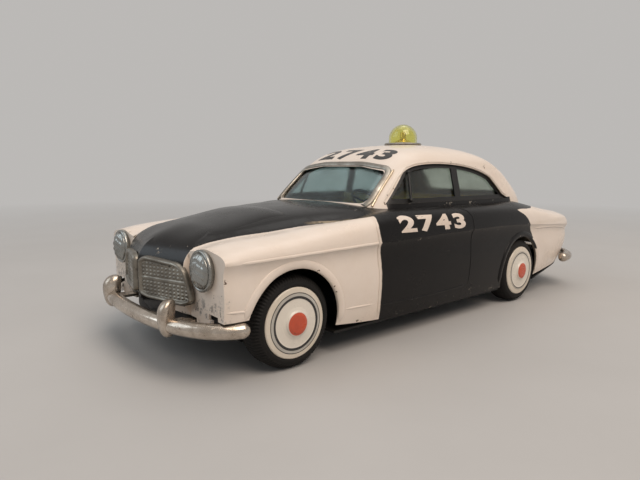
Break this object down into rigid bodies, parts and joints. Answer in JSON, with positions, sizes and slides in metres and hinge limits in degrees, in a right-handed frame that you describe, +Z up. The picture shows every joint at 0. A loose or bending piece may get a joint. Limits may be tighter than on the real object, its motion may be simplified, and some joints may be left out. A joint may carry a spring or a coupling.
{
  "type": "toy police car",
  "caption": "Tinplate toy saloon in black and cream with a clear domed roof beacon, plated bumpers, glazed cabin, rubber tyres and a geared flywheel motor on the rear axle.",
  "frame": {"origin": "on the floor under the middle of the car's bounding box", "axes": "-Y towards the nose, +Z up, +X towards the car's left side"},
  "size_m": [0.0782, 0.2168, 0.0737],
  "materials": {
    "black_enamel": "gloss",
    "cream_enamel": "gloss",
    "base_black": "semi-gloss",
    "dull_nickel": "dull nickel plate",
    "tarnished_chrome": "tarnished",
    "clear_plastic": "clear, slightly tinted",
    "frame_black": "satin",
    "tail_red": "gloss",
    "beacon_yellow": "clear, tinted",
    "gold_lacquer": "gold lacquer",
    "tyre_rubber": "matte",
    "disc_print": "printed, gloss",
    "hub_plastic": "matte",
    "steel": "plain",
    "brass": "plain"
  },
  "bodies": {
    "car": {"backlight": "clear_plastic", "backlight_trim": "dull_nickel", "base_plate": "base_black", "beacon_dome": "beacon_yellow", "beacon_flange": "dull_nickel", "beacon_rivet": "dull_nickel", "body_shell": "black_enamel", "dashboard": "frame_black", "front_bumper": "tarnished_chrome", "front_overrider_left": "tarnished_chrome", "front_overrider_right": "tarnished_chrome", "front_seat": "gold_lacquer", "grille_left": "dull_nickel", "grille_right": "dull_nickel", "headlamp_left": "dull_nickel", "headlamp_right": "dull_nickel", "interior_tray": "gold_lacquer", "motor_pillars": "steel", "motor_plate_left": "steel", "motor_plate_right": "steel", "rear_bumper": "tarnished_chrome", "rear_overrider_left": "tarnished_chrome", "rear_overrider_right": "tarnished_chrome", "rear_seat": "gold_lacquer", "roof_shell": "cream_enamel", "side_frame_left": "frame_black", "side_frame_right": "frame_black", "side_glass_left": "clear_plastic", "side_glass_right": "clear_plastic", "steering_column": "frame_black", "steering_wheel": "frame_black", "tail_lamp_left": "tail_red", "tail_lamp_right": "tail_red", "vent_post_left": "dull_nickel", "vent_post_right": "dull_nickel", "windscreen": "clear_plastic", "windscreen_trim": "dull_nickel"},
    "front_wheels": {"front_axle": "steel", "tyre_front_left": "tyre_rubber", "tyre_front_right": "tyre_rubber", "wheel_disc_front_left": "disc_print", "wheel_disc_front_right": "disc_print", "wheel_hub_front_left": "hub_plastic", "wheel_hub_front_right": "hub_plastic"},
    "rear_wheels": {"rear_axle": "steel", "drive_gear": "brass", "tyre_rear_left": "tyre_rubber", "tyre_rear_right": "tyre_rubber", "wheel_disc_rear_left": "disc_print", "wheel_disc_rear_right": "disc_print", "wheel_hub_rear_left": "hub_plastic", "wheel_hub_rear_right": "hub_plastic"},
    "idler": {"idler": "brass"},
    "flywheel": {"flywheel": "steel"}
  },
  "joints": [
    {"name": "front_wheels_spin", "type": "hinge", "parent": "car", "child": "front_wheels", "pos_m": [0, -0.0755, 0.0132], "axis": [1, 0, 0], "continuous": true},
    {"name": "rear_wheels_spin", "type": "hinge", "parent": "car", "child": "rear_wheels", "pos_m": [0, 0.0445, 0.0132], "axis": [1, 0, 0], "continuous": true},
    {"name": "idler_spin", "type": "hinge", "parent": "car", "child": "idler", "pos_m": [0, 0.03982, 0.01919], "axis": [1, 0, 0], "continuous": true},
    {"name": "flywheel_spin", "type": "hinge", "parent": "car", "child": "flywheel", "pos_m": [0, 0.03383, 0.02387], "axis": [1, 0, 0], "continuous": true}
  ],
  "couplings": [
    {"joint": "idler_spin", "follows": "rear_wheels_spin", "ratio": -2},
    {"joint": "flywheel_spin", "follows": "rear_wheels_spin", "ratio": 4}
  ]
}
